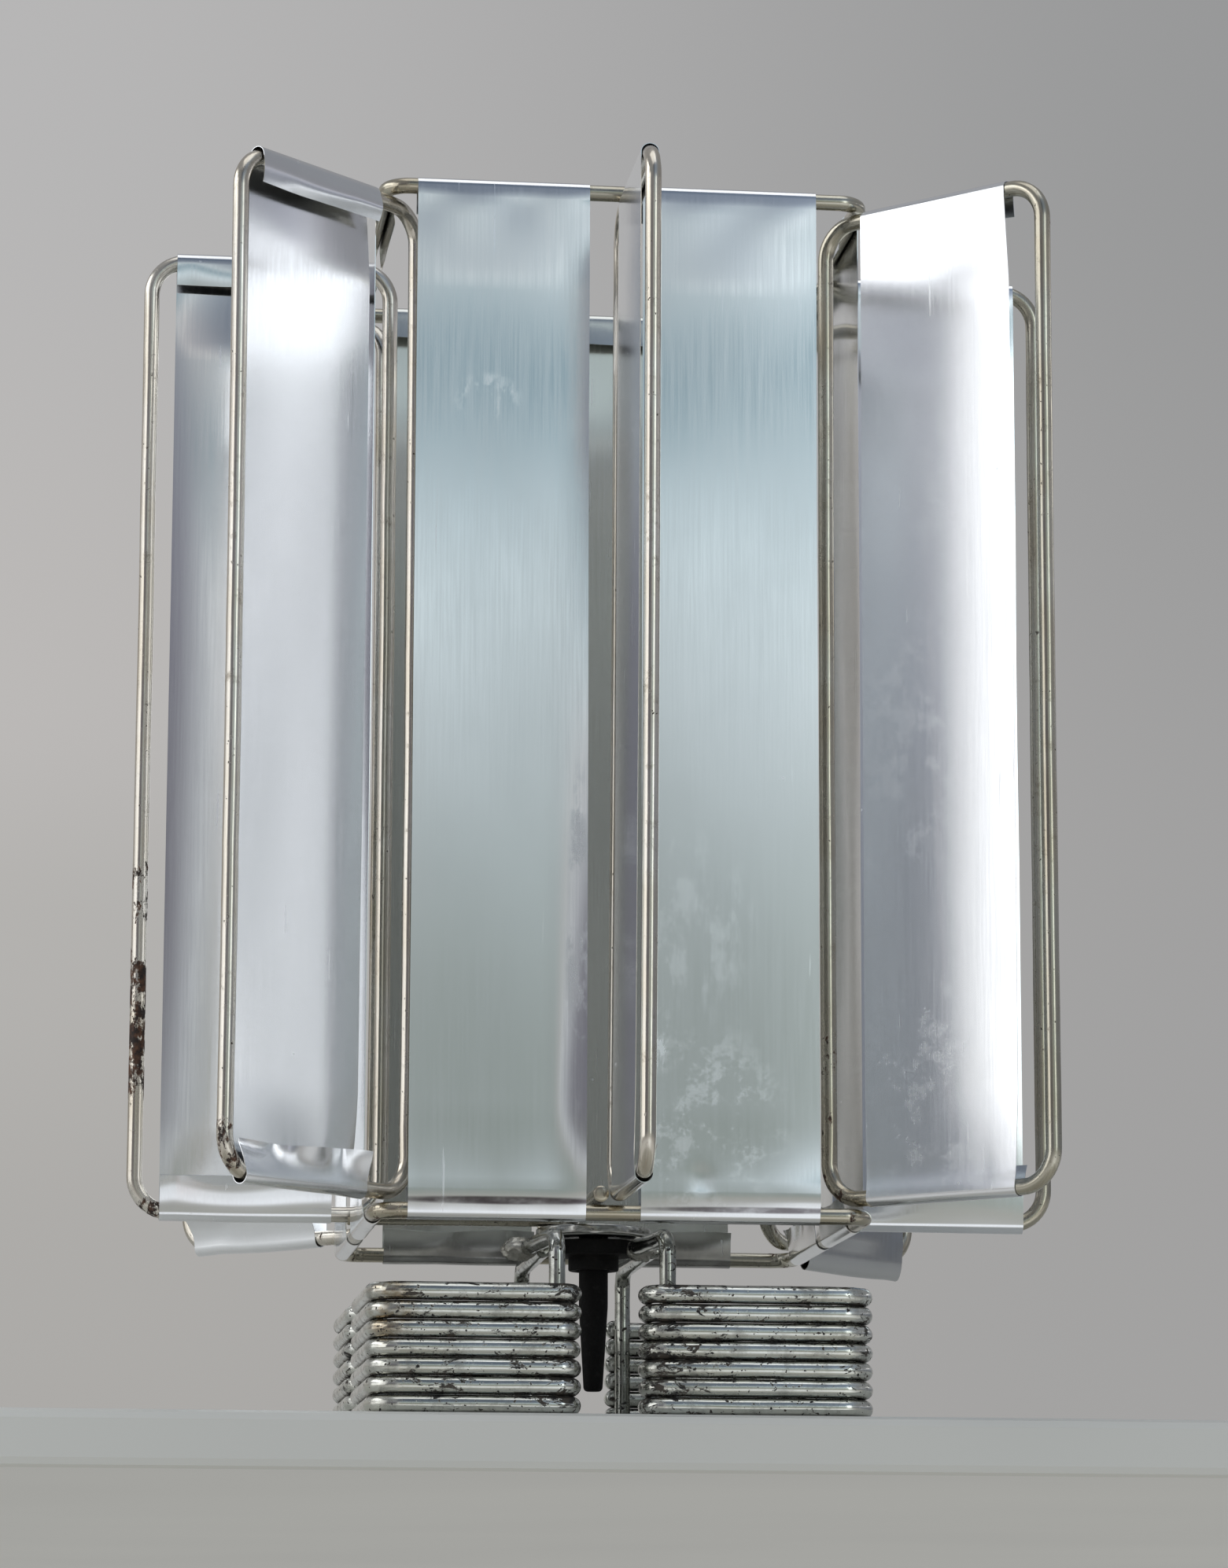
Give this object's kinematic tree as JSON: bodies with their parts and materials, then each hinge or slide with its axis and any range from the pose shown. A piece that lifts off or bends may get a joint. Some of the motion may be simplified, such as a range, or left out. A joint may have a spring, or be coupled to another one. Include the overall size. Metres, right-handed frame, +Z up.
{
  "type": "variable tuning capacitor",
  "caption": "Hand-built variable capacitor: square wire cage with folded foil vanes on radial wire loops, turning on a black spindle above four stacks of bent bars.",
  "frame": {"origin": "on the surface the part stands on, under the spindle axis", "axes": "+Z up along the spindle, +X to the right and +Y to the back as seen from the front, parallel to the sides of the square base"},
  "size_m": [0.1222, 0.1222, 0.1591],
  "materials": {
    "cage_wire": "dull nickel plated wire with brown rust spots",
    "base_wire": "tinned wire, plating flaked to black specks",
    "foil": "satin aluminium foil with fine upright grain and creased folds",
    "solder": "dull lumpy solder",
    "disc": "bright plated steel",
    "bush": "matt black moulded",
    "spindle": "matt black rod"
  },
  "bodies": {
    "base": {"bar_stack_front_left": "base_wire", "bar_stack_front_right": "base_wire", "bar_stack_back_right": "base_wire", "bar_stack_back_left": "base_wire", "post_front_left": "base_wire", "post_front_right": "base_wire", "post_back_left": "base_wire", "post_back_right": "base_wire", "solder_left": "solder", "solder_right": "solder", "spindle_bush": "bush"},
    "rotor": {"ring_top": "cage_wire", "ring_bottom": "cage_wire", "spoke_left": "cage_wire", "cross_bar": "cage_wire", "loop_front": "cage_wire", "loop_front_right": "cage_wire", "loop_right": "cage_wire", "loop_back_right": "cage_wire", "loop_back": "cage_wire", "loop_back_left": "cage_wire", "loop_left": "cage_wire", "loop_front_left": "cage_wire", "foil_loop_front": "foil", "foil_loop_front_right": "foil", "foil_loop_right": "foil", "foil_loop_back_right": "foil", "foil_loop_back": "foil", "foil_loop_back_left": "foil", "foil_loop_left": "foil", "foil_loop_front_left": "foil", "foil_front_1": "foil", "foil_front_2": "foil", "foil_right_1": "foil", "foil_right_2": "foil", "foil_back_1": "foil", "foil_back_2": "foil", "foil_left_1": "foil", "foil_left_2": "foil", "hub_disc": "disc", "spindle": "spindle"}
  },
  "joints": [
    {"name": "rotor_spin", "type": "hinge", "parent": "base", "child": "rotor", "pos_m": [0, 0, 0.0235], "axis": [0, 0, 1], "continuous": true}
  ]
}
